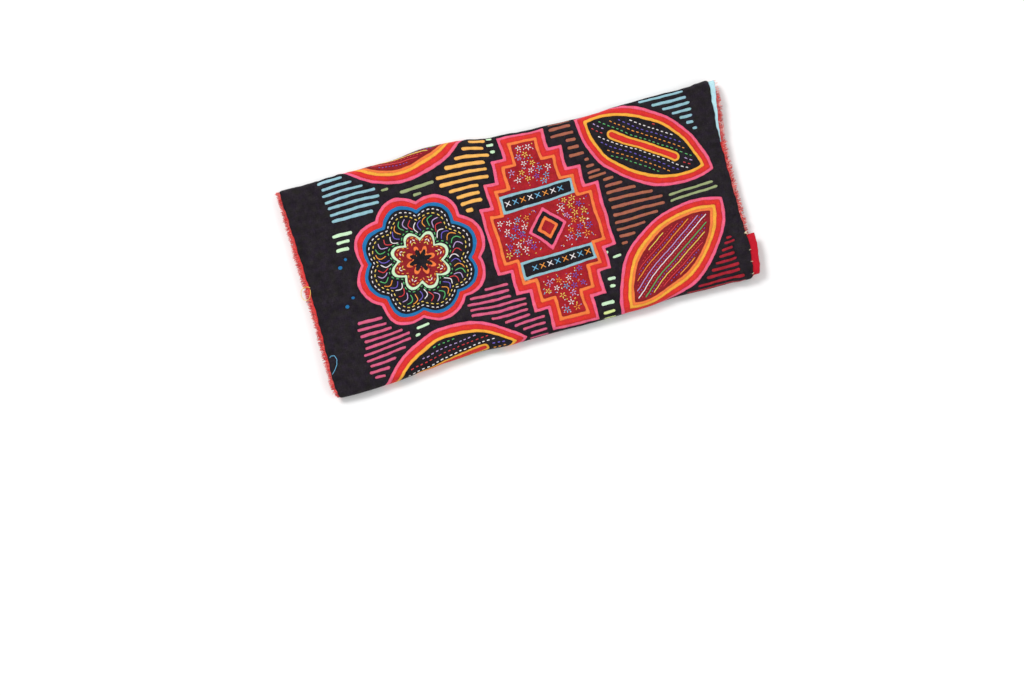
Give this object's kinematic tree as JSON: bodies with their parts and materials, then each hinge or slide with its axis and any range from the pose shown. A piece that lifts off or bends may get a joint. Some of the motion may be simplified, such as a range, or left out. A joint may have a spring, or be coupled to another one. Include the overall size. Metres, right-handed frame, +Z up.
{
  "type": "folded textile panel",
  "caption": "Black reverse-applied cotton panel on a red backing, lying flat with both long sides folded under.",
  "frame": {"origin": "on the underside, at the middle of the length and the width of the folded panel", "axes": "+X along the panel to the end with the light-blue strip, +Y to the far fold, +Z up from the surface it lies on"},
  "size_m": [0.3761, 0.1842, 0.0113],
  "materials": {
    "face_cloth": "matt plain-weave cotton",
    "lining": "matt plain-weave cotton",
    "blue_patch": "matt plain-weave cotton",
    "red_patch": "matt plain-weave cotton"
  },
  "bodies": {
    "root": {"face_cloth": "face_cloth", "lining": "lining", "blue_patch": "blue_patch", "red_patch": "red_patch"}
  },
  "joints": []
}
